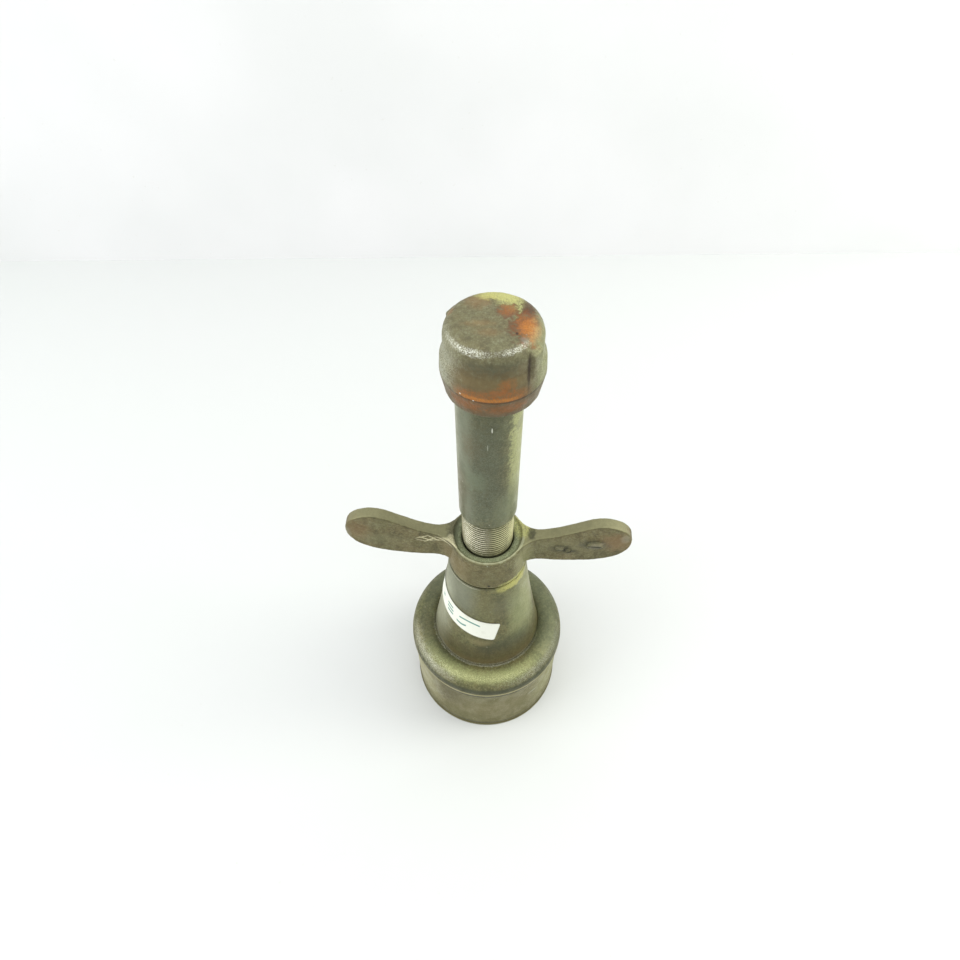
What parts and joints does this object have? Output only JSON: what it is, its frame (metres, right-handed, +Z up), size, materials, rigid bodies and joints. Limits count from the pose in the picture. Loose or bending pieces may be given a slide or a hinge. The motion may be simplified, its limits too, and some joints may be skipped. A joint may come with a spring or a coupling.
{
  "type": "fire hose nozzle",
  "caption": "Straight-tube hose nozzle on a swivelling bell coupling, with a tapered body, a screwed barrel, a wing lock nut and a screwed pipe cap.",
  "frame": {"origin": "centre of the coupling's rim, which the nozzle stands on", "axes": "+Z up the nozzle's axis from the hose end to the cap; the wings spread along X, with the +X wing turned 3.5 degrees towards -Y"},
  "size_m": [0.1176, 0.0748, 0.239],
  "materials": {
    "bell_bronze": "cast bronze with an olive-brown patina, satin",
    "gasket_rubber": "matt black moulded rubber",
    "plug_brass": "dull turned brass",
    "cone_bronze": "turned bronze with an olive patina, satin",
    "label_paper": "white paper, matt",
    "washer_brass": "plain brass",
    "nut_bronze": "cast bronze with a brown patina, satin",
    "tube_brass": "drawn brass tube, grey-olive tarnish, satin",
    "packing_leather": "oiled leather, matt",
    "retainer_brass": "turned brass",
    "cap_iron": "malleable iron with orange rust, rough",
    "cap_gasket_fibre": "fibre washer, matt",
    "ball_steel": "polished bearing steel"
  },
  "bodies": {
    "coupling": {"swivel_bell": "bell_bronze", "hose_gasket": "gasket_rubber", "ball_plug": "plug_brass", "swivel_ball_01": "ball_steel", "swivel_ball_02": "ball_steel", "swivel_ball_03": "ball_steel", "swivel_ball_04": "ball_steel", "swivel_ball_05": "ball_steel", "swivel_ball_06": "ball_steel", "swivel_ball_07": "ball_steel", "swivel_ball_08": "ball_steel", "swivel_ball_09": "ball_steel", "swivel_ball_10": "ball_steel", "swivel_ball_11": "ball_steel", "swivel_ball_12": "ball_steel", "swivel_ball_13": "ball_steel", "swivel_ball_14": "ball_steel", "swivel_ball_15": "ball_steel", "swivel_ball_16": "ball_steel", "swivel_ball_17": "ball_steel", "swivel_ball_18": "ball_steel", "swivel_ball_19": "ball_steel", "swivel_ball_20": "ball_steel"},
    "body": {"cone_body": "cone_bronze", "paper_label": "label_paper"},
    "nut_washer": {"lock_washer": "washer_brass"},
    "nut": {"wing_nut": "nut_bronze"},
    "packing": {"barrel_packing": "packing_leather"},
    "barrel": {"barrel_tube": "tube_brass", "packing_retainer": "retainer_brass"},
    "cap_seal": {"cap_gasket": "cap_gasket_fibre"},
    "cap": {"pipe_cap": "cap_iron"}
  },
  "joints": [
    {"name": "swivel_turn", "type": "hinge", "parent": "coupling", "child": "body", "pos_m": [0, 0, 0.0375], "axis": [0, 0, 1], "continuous": true},
    {"name": "wing_nut_lift", "type": "slide", "parent": "body", "child": "nut_washer", "axis": [0, 0, 1], "range_m": [0, 0.0056]},
    {"name": "wing_nut_turn", "type": "hinge", "parent": "nut_washer", "child": "nut", "pos_m": [0, 0, 0.12], "axis": [0, 0, 1], "range_deg": [0, 1440]},
    {"name": "barrel_travel", "type": "slide", "parent": "body", "child": "packing", "axis": [0, 0, 1], "range_m": [-0.0141, 0.0049]},
    {"name": "barrel_turn", "type": "hinge", "parent": "packing", "child": "barrel", "pos_m": [0, 0, 0.12], "axis": [0, 0, 1], "range_deg": [-3610, 1260]},
    {"name": "cap_lift", "type": "slide", "parent": "barrel", "child": "cap_seal", "axis": [0, 0, 1], "range_m": [0, 0.0145]},
    {"name": "cap_turn", "type": "hinge", "parent": "cap_seal", "child": "cap", "pos_m": [0, 0, 0.23], "axis": [0, 0, 1], "range_deg": [0, 2880]}
  ],
  "couplings": [
    {"joint": "wing_nut_turn", "follows": "wing_nut_lift", "rad_per_m": 4456.2},
    {"joint": "barrel_turn", "follows": "barrel_travel", "rad_per_m": 4456.2},
    {"joint": "cap_turn", "follows": "cap_lift", "rad_per_m": 3463.7}
  ]
}
